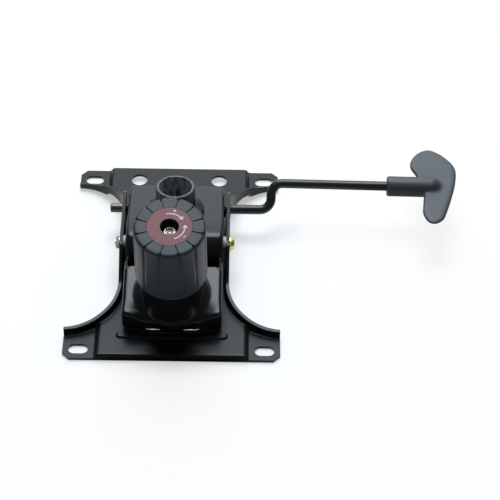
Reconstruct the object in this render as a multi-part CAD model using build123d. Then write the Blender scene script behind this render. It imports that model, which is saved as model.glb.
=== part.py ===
from build123d import *
from math import atan2, cos, degrees, hypot, radians, tan
import os

# Tilt mechanism of an office chair, upside down on its seat face.
# Millimetres. +Z points up from the seat face, towards the gas lift, -Y to the chair's front
# and +X to the lever's side. The origin is the centre of the four seat slots on the seat face.

# Seat plate
SHEET = 2.5
SLOT_PITCH_X, SLOT_PITCH_Y = 150.0, 200.0
SLOT_LENGTH, SLOT_WIDTH = 16.0, 10.0
PLATE_HALF_WIDTH = 87.6
PLATE_FRONT_Y, PLATE_REAR_Y = -110.0, 112.0
EAR_CORNER = 5.5
PANEL_TOP = 6.2                      # the middle panel stands above the ears by 3.7
STEP_FOOT_X, STEP_HEAD_X = 62.0, 59.0
ARC_RADIUS, ARC_CENTRE_X = 45.0, 90.5
FRONT_ARC_Y, REAR_ARC_Y = -38.0, 45.0
NECK_HALF = ARC_CENTRE_X - ARC_RADIUS
BEND_INSIDE, BEND_OUTSIDE = 2.0, 4.0
FLANGE_TOP = [(-95, 8.0), (-83, 9.5), (-70, 12.5), (-55, 14.5), (-38, 17.5), (-15, 37.5),
              (46, 38.5), (50.5, 36.0), (62.5, 19.5), (71, 16.0), (81, 13.0), (90, 6.2), (100, 5.0)]
FLANGE_TOP_RADII = [8, 12, 14, 14, 8, 3, 3, 5, 8, 6, 3]
WINDOW_HALF_WIDTH, WINDOW_FRONT_Y, WINDOW_REAR_Y, WINDOW_CORNER = 24.0, -81.8, -35.0, 6.0
LIP_BEND = 2.4                       # the panel's front edge is turned down to the seat face
BEAD_HALF_LENGTH, BEAD_Y, BEAD_WIDTH, BEAD_HEIGHT, BEAD_FLANK_ANGLE = 45.5, -88.2, 8.0, 1.5, 50.0
ROUND_HOLE_RADIUS, ROUND_HOLE_X, ROUND_HOLE_Y = 7.0, 35.3, 97.0

# Pivot and tilt
PIVOT_Y, PIVOT_Z = -6.0, 30.0
TILT_RANGE = 12.0
PIVOT_BOLT_RADIUS = 3.0
PIVOT_HEAD_RADIUS, PIVOT_HEAD_HEIGHT, PIVOT_FLANGE_RADIUS, PIVOT_FLANGE_HEIGHT = 5.2, 4.2, 6.4, 1.3
PIVOT_WASHER_RADIUS, PIVOT_WASHER_THICKNESS = 5.4, 0.8
PIVOT_NUT_FLATS, PIVOT_NUT_HEIGHT = 9.0, 2.6
PIVOT_TUBE_RADIUS, PIVOT_TUBE_BORE = 6.6, 5.3
BUSH_FLANGE_RADIUS = 6.2
RUNNING = 0.06                       # radial clearance of a shaft in its bush

# Control housing
WALL = 2.5
HOUSING_HALF = 40.3
DECK_BEND, DOME_BEND, DOME_FRONT_ROUNDING = 5.5, 3.2, 15.0
HOUSING_FRONT_Y, HOUSING_REAR_Y = -84.0, 55.0
RIM_FRONT_Z, RIM_REAR_Z = 9.6, 21.6
FRONT_DECK_ANGLE = 11.0
REAR_DECK_ANGLE = 6.5
REAR_DECK_REAR_Z = 39.7
DOME_FRONT_Y = -25.5
DECK_WINDOW_FRONT_Y, DECK_WINDOW_HALF = -39.5, 37.3

# Taper socket for the gas lift
SOCKET_TOP_Y, SOCKET_TOP_Z = 21.6, 68.7
SOCKET_LENGTH, SOCKET_RADIUS, SOCKET_WALL = 44.0, 14.0, 2.0
SOCKET_COLLAR_RADIUS, SOCKET_COLLAR_DEPTH = 16.4, 19.0
SOCKET_TAPER = 1 / 40                # radius lost for each millimetre of depth
CONE_FOOT_RADIUS, CONE_TOP_RADIUS, CONE_HEIGHT = 29.0, 17.4, 10.5

# Tension gear: everything on the axis of the tension bolt, measured from its swing centre
AXIS_LEAN = 11.0
BOSS_FOOT_Y, BOSS_FOOT_Z = -65.0, 32.0
SWING_Z = 7.9
BOSS_RADIUS, BOSS_WALL, BOSS_TOP = 23.7, 2.4, 64.0
BOSS_FOOT_SPREAD = 2.4               # below the deck the boss is wider and swells out of the front wall
CUP_RADIUS, CUP_WALL, CUP_FLOOR, CUP_FLANGE_RADIUS = 20.8, 2.0, 16.6, 22.8
CUP_HOLE_RADIUS = 8.5
BOLT_RADIUS, BOLT_END, BOLT_HEAD_RADIUS, BOLT_HEAD_HEIGHT = 4.85, 110.2, 8.0, 4.0
BOLT_HOLE = 5.0
SADDLE_RADIUS, SADDLE_LENGTH = 7.0, 22.0
STRAP_THICKNESS, STRAP_FOOT_X, STRAP_KNEE_X, STRAP_CROWN_X, STRAP_HALF_DEPTH = 3.0, 35.0, 24.5, 14.5, 9.0
SEAT_BOTTOM, SEAT_THICKNESS, SEAT_RADIUS = 95.0, 2.5, 19.0
THRUST_RADIUS, THRUST_THICKNESS = 14.5, 2.0
NUT_ACROSS_FLATS, NUT_HEIGHT = 17.0, 8.0
NUT_BOTTOM = SEAT_BOTTOM + SEAT_THICKNESS + THRUST_THICKNESS + 0.3
SPRING_MEAN_RADIUS, SPRING_WIRE_RADIUS, SPRING_TURNS = 15.0, 2.9, 8
KNOB_BOTTOM, KNOB_TOP = 58.8, 118.8
KNOB_TOP_RADIUS, KNOB_BOTTOM_RADIUS = 27.8, 28.6
KNOB_SKIN, KNOB_TOP_SKIN = 2.7, 3.0
KNOB_HOLE_RADIUS, KNOB_HUB_RADIUS = 7.15, 13.0
KNOB_GROOVES, KNOB_FIRST_GROOVE = 12, 16.5
LABEL_RADIUS, LABEL_THICKNESS = 17.4, 0.35

# Release lever
ROD_RADIUS = 4.0
ROD_Y, ROD_Z = 40.0, 26.0
ROD_LEFT_X, ROD_CRANK_X = -56.5, 80.0
ARM_X, ARM_Y, ARM_Z = 80.8, 55.6, 42.6
ARM_END_X, ARM_END_Y, ARM_END_Z = 221.0, 53.9, 42.0
ROD_BEND_RADIUS = 9.5
SLEEVE_START_X, SLEEVE_END_X, SLEEVE_RADIUS = 179.0, 225.0, 8.6
BLADE_THICKNESS = 4.4
BLADE_OUTLINE = [(217, 101.4), (225, 98.2), (233, 90.2), (238.4, 81.2), (239.8, 71.2), (237.5, 55.2),
                 (233, 38.2), (228.6, 24.2), (224.6, 14.2), (218, 9.2), (211.5, 11.2), (207.8, 21.2),
                 (209, 35.2), (209.6, 46.2), (206, 59.2), (204.5, 68.7), (200.6, 78.2), (201.8, 87.2),
                 (208, 96.7)]
TONGUE_HALF_WIDTH, TONGUE_SLEEVE_RADIUS = 8.0, 6.4
TONGUE_SIDE = [(44.0, 22.5), (44.0, 19.2), (32.0, 14.7), (8.0, 12.2), (8.0, 14.7), (30.5, 17.1),
               (36.0, 20.4), (37.0, 22.5)]
CLIP_RADIUS, CLIP_X, CLIP_THICKNESS = 6.6, 23.0, 1.2
LEVER_BUSH_RADIUS = 5.6
SLOT_PLAY = 0.7

# Rubber stops between plate and housing: x, y, length, width and top of the right one of each pair
FRONT_STOP = (30.5, HOUSING_FRONT_Y + 2.4, 9.0, 4.0, RIM_FRONT_Z - 0.3)
REAR_STOP = (29.0, HOUSING_REAR_Y - 3.5, 11.0, 8.0, PANEL_TOP + 1.8)


def side_prism(face, x0, x1):
    """A face drawn in (y, z), carried along X from x0 to x1."""
    return Pos(x0, 0, 0) * (Plane.YZ * extrude(face, x1 - x0))


def front_prism(face, y0, y1):
    """A face drawn in (x, z), carried along Y from y0 to y1."""
    return Pos(0, y1, 0) * (Plane.XZ * extrude(face, y1 - y0))


def polygon(points, radii=0):
    """A closed outline with its corners rounded."""
    return make_face(FilletPolyline(*points, radius=radii, close=True))


def cross_rod(y, z, radius, x0, x1):
    """A round bar along X."""
    return Pos(x0, y, z) * Rot(0, 90, 0) * Cylinder(
        radius, x1 - x0, align=(Align.CENTER, Align.CENTER, Align.MIN))


def cross_ring(y, z, outer, inner, x0, x1):
    """A tube along X."""
    return cross_rod(y, z, outer, x0, x1) - cross_rod(y, z, inner, x0 - 1, x1 + 1)


def disc(radius, z0, z1):
    """A round bar along Z."""
    return Pos(0, 0, z0) * Cylinder(radius, z1 - z0, align=(Align.CENTER, Align.CENTER, Align.MIN))


def ring(outer, inner, z0, z1):
    """A tube along Z."""
    return disc(outer, z0, z1) - disc(inner, z0 - 1, z1 + 1)


def turned(points):
    """A profile in (radius, height), turned about Z."""
    return revolve(Plane.XZ * make_face(Polyline(*points, close=True)), Axis.Z)


def both_sides(solid):
    """The solid and its mirror image across the middle plane."""
    return solid + mirror(solid, Plane.YZ)


# The tension axis leans to the front as it goes up, and the socket's axis leans back
swing_y = BOSS_FOOT_Y + (BOSS_FOOT_Z - SWING_Z) * tan(radians(AXIS_LEAN))
tension_frame = Pos(0, swing_y, SWING_Z) * Rot(AXIS_LEAN, 0, 0)
socket_frame = Pos(0, SOCKET_TOP_Y, SOCKET_TOP_Z) * Rot(-REAR_DECK_ANGLE, 0, 0)


def sheet_section(drop):
    """Half of the seat plate's section at one face of the sheet: ear, step, raised panel."""
    slope = atan2(PANEL_TOP - SHEET, STEP_FOOT_X - STEP_HEAD_X)
    inward = drop * tan(slope / 2)
    return [(STEP_FOOT_X - inward, SHEET - drop), (STEP_HEAD_X - inward, PANEL_TOP - drop)]


def formed_sheet():
    """The sheet across the whole plate, before its outline is cut: two ears and a raised panel."""
    top, under = sheet_section(0), sheet_section(SHEET)
    right = [(PLATE_HALF_WIDTH, SHEET)] + top
    left = [(-x, z) for x, z in reversed(right)]
    low_left = [(-PLATE_HALF_WIDTH, 0)] + [(-x, z) for x, z in under]
    low_right = [(x, z) for x, z in reversed(under)] + [(PLATE_HALF_WIDTH, 0)]
    outline = right + left + low_left + low_right
    radii = [0, 1.5, 3.5, 3.5, 1.5, 0, 0, 3.5, 1.5, 1.5, 3.5, 0]
    return front_prism(polygon(outline, radii), PLATE_FRONT_Y, PLATE_REAR_Y)


def space_under_panel():
    """Everything lower than the raised panel's underside."""
    under = sheet_section(SHEET)
    points = [(-x, z) for x, z in under] + [(x, z) for x, z in reversed(under)]
    return front_prism(polygon(points), PLATE_FRONT_Y - 10, PLATE_REAR_Y + 10)


def side_void(inset, height):
    """The space beside the neck on the right: two round bays and the straight run between them."""
    low = -5
    front_bay, rear_bay = [Pos(ARC_CENTRE_X, y, 0) * disc(ARC_RADIUS + inset, low, height)
                           for y in (FRONT_ARC_Y, REAR_ARC_Y)]
    run = Pos(NECK_HALF - inset, (FRONT_ARC_Y + REAR_ARC_Y) / 2, low) * Box(
        60, REAR_ARC_Y - FRONT_ARC_Y, height - low, align=(Align.MIN, Align.CENTER, Align.MIN))
    return front_bay + rear_bay + run


def slot_tool(x, y):
    """One seat slot, its length along X."""
    straight = SLOT_LENGTH - SLOT_WIDTH
    ends = [Pos(x + side * straight / 2, y, 0) * disc(SLOT_WIDTH / 2, -1, 10) for side in (-1, 1)]
    return ends[0] + ends[1] + Pos(x, y, 4.5) * Box(straight, SLOT_WIDTH, 11)


def lever_slot():
    """The curved slot in the cheeks along which the lever rod sinks as the housing tilts."""
    arm = hypot(ROD_Y - PIVOT_Y, ROD_Z - PIVOT_Z)
    start = degrees(atan2(ROD_Z - PIVOT_Z, ROD_Y - PIVOT_Y))
    half = ROD_RADIUS + SLOT_PLAY
    pivot = Vector(PIVOT_Y, PIVOT_Z)
    points = [pivot + Vector(arm, 0).rotate(Axis.Z, start - turn) for turn in (0, TILT_RANGE)]
    path = make_face([
        CenterArc((PIVOT_Y, PIVOT_Z), arm + half, start - TILT_RANGE, TILT_RANGE),
        CenterArc((PIVOT_Y, PIVOT_Z), arm - half, start - TILT_RANGE, TILT_RANGE),
        *[Line(pivot + Vector(arm - half, 0).rotate(Axis.Z, angle),
               pivot + Vector(arm + half, 0).rotate(Axis.Z, angle))
          for angle in (start, start - TILT_RANGE)],
    ])
    slot = side_prism(path, -50, 50)
    for point in points:
        slot += cross_rod(point.X, point.Y, half, -50, 50)
    return slot


def bead(drop):
    """The raised bead behind the front edge: a long round-ended pad with leaning flanks."""
    foot = Pos(0, BEAD_Y, PANEL_TOP - drop) * SlotOverall(2 * BEAD_HALF_LENGTH, BEAD_WIDTH)
    pad = extrude(foot, BEAD_HEIGHT, taper=BEAD_FLANK_ANGLE)
    return fillet(pad.faces().sort_by(Axis.Z)[-1].edges(), 0.9)


def front_lip():
    """The front edge of the raised panel, turned down to the seat face."""
    right = [(STEP_FOOT_X, 0)] + sheet_section(0)
    face = polygon(right + [(-x, z) for x, z in reversed(right)])
    return front_prism(face, PLATE_FRONT_Y, PLATE_FRONT_Y + SHEET)


def lip_corner():
    """What the bend takes off the square corner between panel and lip."""
    y, z = PLATE_FRONT_Y + LIP_BEND, PANEL_TOP - LIP_BEND
    block = side_prism(polygon([(y, z), (y - 5, z), (y - 5, z + 5), (y, z + 5)]), -STEP_FOOT_X, STEP_FOOT_X)
    return block - cross_rod(y, z, LIP_BEND, -STEP_FOOT_X, STEP_FOOT_X)


def bend_edges(solid, level, radius, half):
    """The edges at one level along the bays and the neck, where the sheet turns up into the flange."""
    found = []
    for edge in solid.edges():
        box = edge.bounding_box()
        if abs(box.min.Z - level) > 0.001 or abs(box.max.Z - level) > 0.001:
            continue
        round_run = edge.geom_type == GeomType.CIRCLE and abs(edge.radius - radius) < 0.001
        straight_run = edge.geom_type == GeomType.LINE and abs(abs(edge.center().X) - half) < 0.001
        if round_run or straight_run:
            found.append(edge)
    return found


def seat_plate():
    """One stamped sheet: ears, raised panel, side flanges that rise into the pivot cheeks."""
    corners = [(-PLATE_HALF_WIDTH, PLATE_FRONT_Y), (PLATE_HALF_WIDTH, PLATE_FRONT_Y),
               (PLATE_HALF_WIDTH, PLATE_REAR_Y), (-PLATE_HALF_WIDTH, PLATE_REAR_Y)]
    blank = extrude(chamfer(make_face(Polyline(*corners, close=True)).vertices(), EAR_CORNER), 60)
    side_cut = both_sides(side_void(0, 60))
    plate = formed_sheet() & blank

    height = [(PLATE_FRONT_Y + 15, -1)] + FLANGE_TOP + [(PLATE_REAR_Y - 12, -1)]
    flange_faces = polygon(height, [0, 0] + FLANGE_TOP_RADII + [0, 0])
    flange = (both_sides(side_void(SHEET, 50)) & blank) & side_prism(flange_faces, -90, 90)
    flange -= space_under_panel()

    solid = plate + flange - side_cut
    solid = fillet(bend_edges(solid, PANEL_TOP, ARC_RADIUS + SHEET, NECK_HALF - SHEET), BEND_INSIDE)
    solid = fillet(bend_edges(solid, PANEL_TOP - SHEET, ARC_RADIUS, NECK_HALF), BEND_OUTSIDE)
    solid = solid + bead(0) - bead(SHEET) + front_lip() - lip_corner()
    for x in (-SLOT_PITCH_X / 2, SLOT_PITCH_X / 2):
        for y in (-SLOT_PITCH_Y / 2, SLOT_PITCH_Y / 2):
            solid -= slot_tool(x, y)
    window = fillet(
        (Pos(0, (WINDOW_FRONT_Y + WINDOW_REAR_Y) / 2, 5)
         * Box(2 * WINDOW_HALF_WIDTH, WINDOW_REAR_Y - WINDOW_FRONT_Y, 30)).edges().filter_by(Axis.Z),
        WINDOW_CORNER)
    holes = both_sides(Pos(ROUND_HOLE_X, ROUND_HOLE_Y, 0) * disc(ROUND_HOLE_RADIUS, -1, 12))
    pivot_hole = cross_rod(PIVOT_Y, PIVOT_Z, PIVOT_BOLT_RADIUS + 0.1, -60, 60)
    return solid - window - holes - pivot_hole - lever_slot()


def housing_block(shrink):
    """The tub's outer form, or with shrink its hollow: a rear dome and a lower front deck."""
    half, low = HOUSING_HALF - shrink, -10

    def rear_deck_z(y):
        slope = radians(REAR_DECK_ANGLE)
        return REAR_DECK_REAR_Z + (HOUSING_REAR_Y - y) * tan(slope) - shrink / cos(slope)

    def front_deck_z(y):
        slope = radians(FRONT_DECK_ANGLE)
        return BOSS_FOOT_Z + (y - BOSS_FOOT_Y) * tan(slope) - shrink / cos(slope)

    front, rear, dome = HOUSING_FRONT_Y + shrink, HOUSING_REAR_Y - shrink, DOME_FRONT_Y + shrink
    rear_faces = [(dome, low), (dome, rear_deck_z(dome)), (rear, rear_deck_z(rear)), (rear + 2, low)]
    dome_block = side_prism(polygon(rear_faces, [0, DOME_FRONT_ROUNDING - shrink, 0, 0]), -half, half)
    upper_edges = [e for e in dome_block.edges() if e.center().Z > low + 1]
    corners = [e for e in upper_edges if abs(abs(e.center().X) - half) < 0.001 or e.center().Y > rear - 1]
    dome_block = fillet(corners, DOME_BEND - shrink)

    back = dome + 5
    front_faces = [(front, low), (front, front_deck_z(front)), (back, front_deck_z(back)), (back, low)]
    deck_block = side_prism(polygon(front_faces), -half, half)
    corners = [e for e in deck_block.edges() if e.center().Z > low + 1 and e.center().Y < back - 1]
    window = Pos(0, DECK_WINDOW_FRONT_Y, 30) * Box(
        2 * DECK_WINDOW_HALF, 50, 30, align=(Align.CENTER, Align.MIN, Align.MIN))
    return dome_block + (fillet(corners, DECK_BEND - shrink) - window)


def socket_cone(shrink):
    """The drawn cone of the rear deck that rises round the taper socket."""
    slope = radians(REAR_DECK_ANGLE)
    deck_z = REAR_DECK_REAR_Z + (HOUSING_REAR_Y - SOCKET_TOP_Y) * tan(slope)
    deck_depth = (SOCKET_TOP_Z - deck_z) * cos(slope)
    foot, top = -deck_depth - shrink, -deck_depth + CONE_HEIGHT - shrink
    run, rise = CONE_FOOT_RADIUS - CONE_TOP_RADIUS, CONE_HEIGHT
    flank_radius = (run ** 2 + rise ** 2) / (2 * rise) * 1.25
    flank = RadiusArc((CONE_FOOT_RADIUS, foot), (CONE_TOP_RADIUS, top), flank_radius)
    outline = [flank, Line((CONE_TOP_RADIUS, top), (0, top)), Line((0, top), (0, foot - 3)),
               Line((0, foot - 3), (CONE_FOOT_RADIUS, foot - 3)),
               Line((CONE_FOOT_RADIUS, foot - 3), (CONE_FOOT_RADIUS, foot))]
    return socket_frame * revolve(Plane.XZ * make_face(outline), Axis.Z)


def socket_body(extra=0.0):
    """The socket as a full round bar, slightly tapered, from its mouth down."""
    collar = SOCKET_COLLAR_RADIUS + extra
    lower_end = SOCKET_RADIUS + SOCKET_WALL - SOCKET_TAPER * SOCKET_LENGTH + extra
    edge = 0.8
    return socket_frame * turned([
        (0, extra), (collar - edge, extra), (collar, extra - edge), (collar, -SOCKET_COLLAR_DEPTH),
        (lower_end, -SOCKET_COLLAR_DEPTH - 3), (lower_end, -SOCKET_LENGTH), (0, -SOCKET_LENGTH)])


def taper_socket():
    """A tube whose bore narrows towards the seat, to grip the gas lift."""
    mouth = SOCKET_RADIUS
    inner_end = mouth - SOCKET_TAPER * SOCKET_LENGTH
    bore = socket_frame * turned([
        (0, 1), (mouth + SOCKET_TAPER, 1), (inner_end - SOCKET_TAPER, -SOCKET_LENGTH - 1),
        (0, -SOCKET_LENGTH - 1)])
    return socket_body() - bore


def boss(shrink):
    """The round boss of the front deck, or with shrink its hollow, with a wider foot below the deck."""
    foot = (BOSS_FOOT_Z - SWING_Z) / cos(radians(AXIS_LEAN)) - shrink
    radius, low, top = BOSS_RADIUS - shrink, -40, BOSS_TOP - shrink
    wide = radius + BOSS_FOOT_SPREAD
    return tension_frame * turned([
        (0, low), (wide, low), (wide, foot - BOSS_FOOT_SPREAD), (wide - 0.7, foot - 0.7),
        (radius, foot), (radius, top), (0, top)])


def control_housing():
    """The stamped tub that carries the socket, the spring cup and the lever."""
    outer = housing_block(0) + socket_cone(0) + boss(0)
    hollow = housing_block(WALL) + socket_cone(WALL) + boss(BOSS_WALL)
    below_rim = side_prism(polygon([(-120, -60), (-120, RIM_FRONT_Z), (PIVOT_Y, RIM_FRONT_Z),
                                    (HOUSING_REAR_Y + 3, RIM_REAR_Z), (90, RIM_REAR_Z), (90, -60)]), -60, 60)
    solid = outer - hollow - below_rim - socket_body(0.02)
    solid -= tension_frame * disc(CUP_RADIUS + 0.05, 30, 80)
    solid -= cross_rod(PIVOT_Y, PIVOT_Z, PIVOT_TUBE_RADIUS, -60, 60)
    return solid - cross_rod(ROD_Y, ROD_Z, LEVER_BUSH_RADIUS, -60, 60)


def spring_cup():
    """A drawn cup that hangs in the boss by its flange and holds the spring's lower end."""
    inside = CUP_RADIUS - CUP_WALL
    shell = disc(CUP_RADIUS, CUP_FLOOR, BOSS_TOP) - disc(inside, CUP_FLOOR + WALL, BOSS_TOP + 1)
    flange = ring(CUP_FLANGE_RADIUS, inside, BOSS_TOP, BOSS_TOP + CUP_WALL)
    return tension_frame * (shell + flange - disc(CUP_HOLE_RADIUS, 0, CUP_FLOOR + 10))


def pivot_tube():
    return cross_ring(PIVOT_Y, PIVOT_Z, PIVOT_TUBE_RADIUS, PIVOT_TUBE_BORE, -HOUSING_HALF, HOUSING_HALF)


def pivot_bush():
    """The right bush: a flange between housing and cheek, and a sleeve in the pivot tube."""
    sleeve = cross_rod(PIVOT_Y, PIVOT_Z, PIVOT_TUBE_BORE, HOUSING_HALF - 14, HOUSING_HALF)
    flange = cross_rod(PIVOT_Y, PIVOT_Z, BUSH_FLANGE_RADIUS, HOUSING_HALF, NECK_HALF - SHEET - 0.3)
    return sleeve + flange - cross_rod(PIVOT_Y, PIVOT_Z, PIVOT_BOLT_RADIUS + RUNNING, 0, 60)


def lever_bush():
    """The right bush of the lever rod, in the wall of the housing."""
    sleeve = cross_rod(ROD_Y, ROD_Z, LEVER_BUSH_RADIUS, HOUSING_HALF - WALL - 2, HOUSING_HALF)
    flange = cross_rod(ROD_Y, ROD_Z, LEVER_BUSH_RADIUS + 1.6, HOUSING_HALF, NECK_HALF - SHEET - 1)
    return sleeve + flange - cross_rod(ROD_Y, ROD_Z, ROD_RADIUS + RUNNING, 0, 60)


def hexagon(across_flats, height):
    return extrude(RegularPolygon(across_flats / 2, 6, major_radius=False), height)


def pivot_bolt():
    """A flanged button-head bolt from the right, across both cheeks."""
    end_x = -NECK_HALF - PIVOT_WASHER_THICKNESS - PIVOT_NUT_HEIGHT - 0.6
    shank = cross_rod(PIVOT_Y, PIVOT_Z, PIVOT_BOLT_RADIUS, end_x, NECK_HALF + 0.1)
    rim, low, radius, top = PIVOT_FLANGE_RADIUS, PIVOT_FLANGE_HEIGHT, PIVOT_HEAD_RADIUS, PIVOT_HEAD_HEIGHT
    head = make_face([
        Line((0, 0), (rim, 0)), Line((rim, 0), (rim, low / 2)), Line((rim, low / 2), (radius, low)),
        ThreePointArc((radius, low), (radius * 0.78, top - 0.7), (0, top)), Line((0, top), (0, 0))])
    recess = Pos(0, 0, top - 1.8) * hexagon(4.0, 4)
    head = revolve(Plane.XZ * head, Axis.Z) - recess
    return shank + Pos(NECK_HALF + 0.1, PIVOT_Y, PIVOT_Z) * Rot(0, 90, 0) * head


def pivot_washer():
    return cross_ring(PIVOT_Y, PIVOT_Z, PIVOT_WASHER_RADIUS, PIVOT_BOLT_RADIUS + 0.2,
                      -NECK_HALF - PIVOT_WASHER_THICKNESS, -NECK_HALF)


def pivot_nut():
    """A low lock nut on the left end of the pivot bolt."""
    across, top = PIVOT_NUT_FLATS / 2, PIVOT_NUT_HEIGHT
    rounding = turned([(0, 0), (across + 1, 0), (across + 1, top - 1), (across - 0.2, top), (0, top)])
    nut = (hexagon(PIVOT_NUT_FLATS, top) & rounding) - disc(PIVOT_BOLT_RADIUS, -1, 10)
    return Pos(-NECK_HALF - PIVOT_WASHER_THICKNESS, PIVOT_Y, PIVOT_Z) * Rot(0, -90, 0) * nut


def anchor_strap():
    """A bent strap welded over the plate's window. The tension bolt hangs from it."""
    crown_under = SWING_Z + SADDLE_RADIUS + 0.1
    under = [(STRAP_FOOT_X, PANEL_TOP), (STRAP_KNEE_X, PANEL_TOP), (STRAP_CROWN_X, crown_under)]
    over = [(STRAP_FOOT_X, PANEL_TOP + STRAP_THICKNESS), (STRAP_KNEE_X + 1, PANEL_TOP + STRAP_THICKNESS),
            (STRAP_CROWN_X + 1, crown_under + STRAP_THICKNESS)]
    left_under = [(-x, z) for x, z in reversed(under)]
    left_over = [(-x, z) for x, z in over]
    outline = polygon(under + left_under + left_over + list(reversed(over)))
    strap = front_prism(outline, swing_y - STRAP_HALF_DEPTH, swing_y + STRAP_HALF_DEPTH)
    slot_half = BOLT_HOLE + 0.5
    slot = Pos(0, swing_y - 1.0, 10) * Box(2 * slot_half, 4.6, 30)
    for y in (-3.3, 1.3):
        slot += Pos(0, swing_y + y, 0) * disc(slot_half, 0, 25)
    return strap - slot


def bumpers(x, y, length, width, top):
    """A pair of rubber stops glued to the panel."""
    block = Pos(x, y, PANEL_TOP) * Box(
        length, width, top - PANEL_TOP, align=(Align.CENTER, Align.CENTER, Align.MIN))
    return both_sides(fillet(block.edges().filter_by(Axis.Z), 1.2))


def tension_bolt():
    """The long bolt from the strap to the knob, with a low head below its saddle washer."""
    shank = disc(BOLT_RADIUS, 0, BOLT_END - 1.2)
    end = turned([(0, BOLT_END - 1.2), (BOLT_RADIUS, BOLT_END - 1.2), (BOLT_RADIUS - 1.0, BOLT_END),
                  (1.6, BOLT_END), (0, BOLT_END - 1.4)])
    head = turned([(0, -BOLT_HEAD_HEIGHT), (5.8, -BOLT_HEAD_HEIGHT), (BOLT_HEAD_RADIUS, -1.6),
                   (BOLT_HEAD_RADIUS, 0), (0, 0)])
    recess = Pos(0, 0, -BOLT_HEAD_HEIGHT - 0.1) * hexagon(6.0, 2.6)
    return tension_frame * (shank + end + head - recess)


def saddle_washer():
    """A half-round bar under the strap, on which the bolt swings."""
    bar = cross_rod(0, 0, SADDLE_RADIUS, -SADDLE_LENGTH / 2, SADDLE_LENGTH / 2)
    upper = Pos(0, 0, 0.02) * Box(40, 40, 20, align=(Align.CENTER, Align.CENTER, Align.MIN))
    return tension_frame * ((bar & upper) - disc(BOLT_HOLE, -1, 20))


def spring_seat():
    """The cup washer on top of the spring, with a collar that centres the coil."""
    plate = ring(SEAT_RADIUS, BOLT_HOLE + 0.3, SEAT_BOTTOM, SEAT_BOTTOM + SEAT_THICKNESS)
    collar_radius = SPRING_MEAN_RADIUS - SPRING_WIRE_RADIUS - 0.8
    collar = ring(collar_radius, BOLT_HOLE + 0.3, SEAT_BOTTOM - 6, SEAT_BOTTOM)
    return tension_frame * (plate + collar)


def thrust_washer():
    low = SEAT_BOTTOM + SEAT_THICKNESS
    return tension_frame * ring(THRUST_RADIUS, BOLT_HOLE + 0.4, low, low + THRUST_THICKNESS)


def tension_nut():
    block = Pos(0, 0, NUT_BOTTOM) * hexagon(NUT_ACROSS_FLATS, NUT_HEIGHT)
    return tension_frame * (block - disc(BOLT_RADIUS + RUNNING, 0, 200))


def tension_spring():
    """A compression spring from the cup's floor to the spring seat, swept as one unbroken tube."""
    low = CUP_FLOOR + WALL + SPRING_WIRE_RADIUS + 0.1
    height = SEAT_BOTTOM - SPRING_WIRE_RADIUS - 0.1 - low
    pitch = height / SPRING_TURNS
    path = Helix(pitch, height, SPRING_MEAN_RADIUS)
    start = Plane(origin=path @ 0, z_dir=path % 0)
    steps = 36
    points = [path @ (k / (steps * SPRING_TURNS)) for k in range(steps * SPRING_TURNS + 1)]
    nearest = min((points[i] - points[j]).length
                  for i in range(len(points)) for j in range(i + steps // 2, len(points)))
    gap = nearest - 2 * SPRING_WIRE_RADIUS
    print("tension spring: pitch %.2f mm, least gap to itself %.2f mm" % (pitch, gap))
    return tension_frame * Pos(0, 0, low) * sweep(start * Circle(SPRING_WIRE_RADIUS), path=path)


def knob_grooves():
    """Twelve cuts: a slit across the top's outer band and a notch down the side."""
    slit_depth, slit_width, notch_depth, notch_half = 1.1, 0.9, 1.5, 1.5
    notch_end = KNOB_BOTTOM + 8.0
    height = KNOB_TOP - notch_end
    lean = degrees(atan2(KNOB_BOTTOM_RADIUS - KNOB_TOP_RADIUS, KNOB_TOP - KNOB_BOTTOM))
    slit = Pos(LABEL_RADIUS + 0.6, 0, KNOB_TOP - slit_depth) * Box(
        20, slit_width, 5, align=(Align.MIN, Align.CENTER, Align.MIN))
    section = make_face(Polyline((-notch_depth, 0), (1, -notch_half * (1 + 1 / notch_depth)),
                                 (1, notch_half * (1 + 1 / notch_depth)), close=True))
    notch = Pos(KNOB_TOP_RADIUS, 0, KNOB_TOP + 1) * Rot(0, -lean, 0) * extrude(section, -height)
    pit = Pos(KNOB_BOTTOM_RADIUS, 0, notch_end) * Rot(0, 90, 0) * Cylinder(0.9, 2.4)
    cut = slit + notch + pit
    cuts = Rot(0, 0, KNOB_FIRST_GROOVE) * cut
    for k in range(1, KNOB_GROOVES):
        cuts += Rot(0, 0, KNOB_FIRST_GROOVE + 360 / KNOB_GROOVES * k) * cut
    return cuts


def tension_knob():
    """The moulded knob: a grooved cup with a hub that holds the nut."""
    inner_top = KNOB_TOP - KNOB_TOP_SKIN
    skirt = KNOB_BOTTOM_RADIUS - KNOB_SKIN
    top_inner = KNOB_TOP_RADIUS - KNOB_SKIN
    rounding = 1.2
    outer = turned([
        (0, KNOB_BOTTOM), (KNOB_BOTTOM_RADIUS, KNOB_BOTTOM), (KNOB_TOP_RADIUS, KNOB_TOP - rounding),
        (KNOB_TOP_RADIUS - rounding, KNOB_TOP), (0, KNOB_TOP)])
    inside = turned([(0, KNOB_BOTTOM - 1), (skirt, KNOB_BOTTOM - 1), (top_inner, inner_top), (0, inner_top)])
    shell = outer - inside - knob_grooves()
    solid = shell + disc(KNOB_HUB_RADIUS, NUT_BOTTOM, inner_top + 1) - disc(KNOB_HOLE_RADIUS, 0, 200)
    solid -= Pos(0, 0, NUT_BOTTOM - 1) * hexagon(NUT_ACROSS_FLATS + 0.04, NUT_HEIGHT + 1)
    label_seat = ring(LABEL_RADIUS, KNOB_HOLE_RADIUS - 1, KNOB_TOP - LABEL_THICKNESS / 2, KNOB_TOP + 1)
    return tension_frame * (solid - label_seat)


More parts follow.
